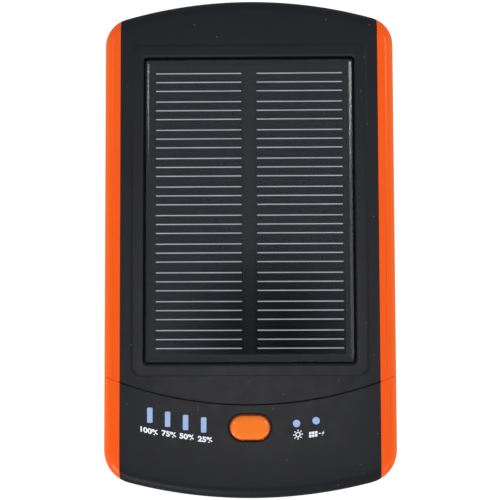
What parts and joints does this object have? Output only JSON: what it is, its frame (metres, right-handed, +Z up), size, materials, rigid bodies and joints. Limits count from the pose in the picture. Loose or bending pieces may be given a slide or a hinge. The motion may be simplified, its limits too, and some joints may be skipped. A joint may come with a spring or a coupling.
{
  "type": "solar phone charger",
  "caption": "Flat pocket power bank with a glossy solar panel on its front, orange side rails, charge level windows, a press button and USB sockets in its lower end.",
  "frame": {"origin": "on the resting face, under the middle of the case, which lies on its back", "axes": "+Z up out of the front through the solar panel, +Y towards the panel end, -Y towards the sockets, +X to the right seen from the front"},
  "size_m": [0.076, 0.1304, 0.0168],
  "materials": {
    "cover_black": "fine-grained soft-touch black",
    "rail_orange": "satin orange plastic",
    "button_orange": "glossy orange plastic",
    "light_guide": "milky pale blue, lit from behind",
    "clear_resin": "clear glossy epoxy",
    "silicon": "dark grey silicon wafer",
    "silver_paste": "printed silver lines",
    "black_board": "black circuit board",
    "green_board": "green solder mask",
    "foam_tape": "white double-sided foam tape",
    "wire_jacket": "silicone wire jacket",
    "white_insulator": "white moulded insulator",
    "black_insulator": "black moulded insulator",
    "tinned_steel": "tinned sheet steel",
    "screw_steel": "zinc-plated steel",
    "contact_gold": "gold-plated contacts",
    "led_body": "white chip body",
    "chip_black": "moulded chip package",
    "ferrite": "dark ferrite",
    "capacitor_can": "aluminium can",
    "battery_foil": "laminated aluminium pouch"
  },
  "bodies": {
    "case": {"front_cover": "cover_black", "control_cover": "cover_black", "back_cover": "cover_black", "side_rail_right": "rail_orange", "side_rail_left": "rail_orange", "end_rail_right": "rail_orange", "end_rail_left": "rail_orange", "panel_resin": "clear_resin", "solar_cells": "silicon", "cell_fingers": "silver_paste", "solar_board": "black_board", "panel_tape": "foam_tape", "solar_leads": "wire_jacket", "switch_body": "tinned_steel", "level_light_guide": "light_guide", "status_light_guide": "light_guide", "level_leds": "led_body", "status_leds": "led_body", "main_board": "green_board", "controller_chips": "chip_black", "inductor": "ferrite", "capacitors": "capacitor_can", "usb_shell_right": "tinned_steel", "usb_shell_left": "tinned_steel", "usb_tongue_right": "white_insulator", "usb_tongue_left": "white_insulator", "usb_contacts": "contact_gold", "micro_usb_shell": "tinned_steel", "micro_usb_tongue": "black_insulator", "battery_cell": "battery_foil", "battery_board": "green_board", "battery_tape": "foam_tape", "battery_leads": "wire_jacket", "housing_screws": "screw_steel"},
    "button": {"power_button": "button_orange", "switch_plunger": "white_insulator"}
  },
  "joints": [
    {"name": "button_press", "type": "slide", "parent": "case", "child": "button", "axis": [0, 0, -1], "range_m": [0, 0.0004], "stiffness_N_per_m": 800, "springref_m": -0.0002}
  ]
}
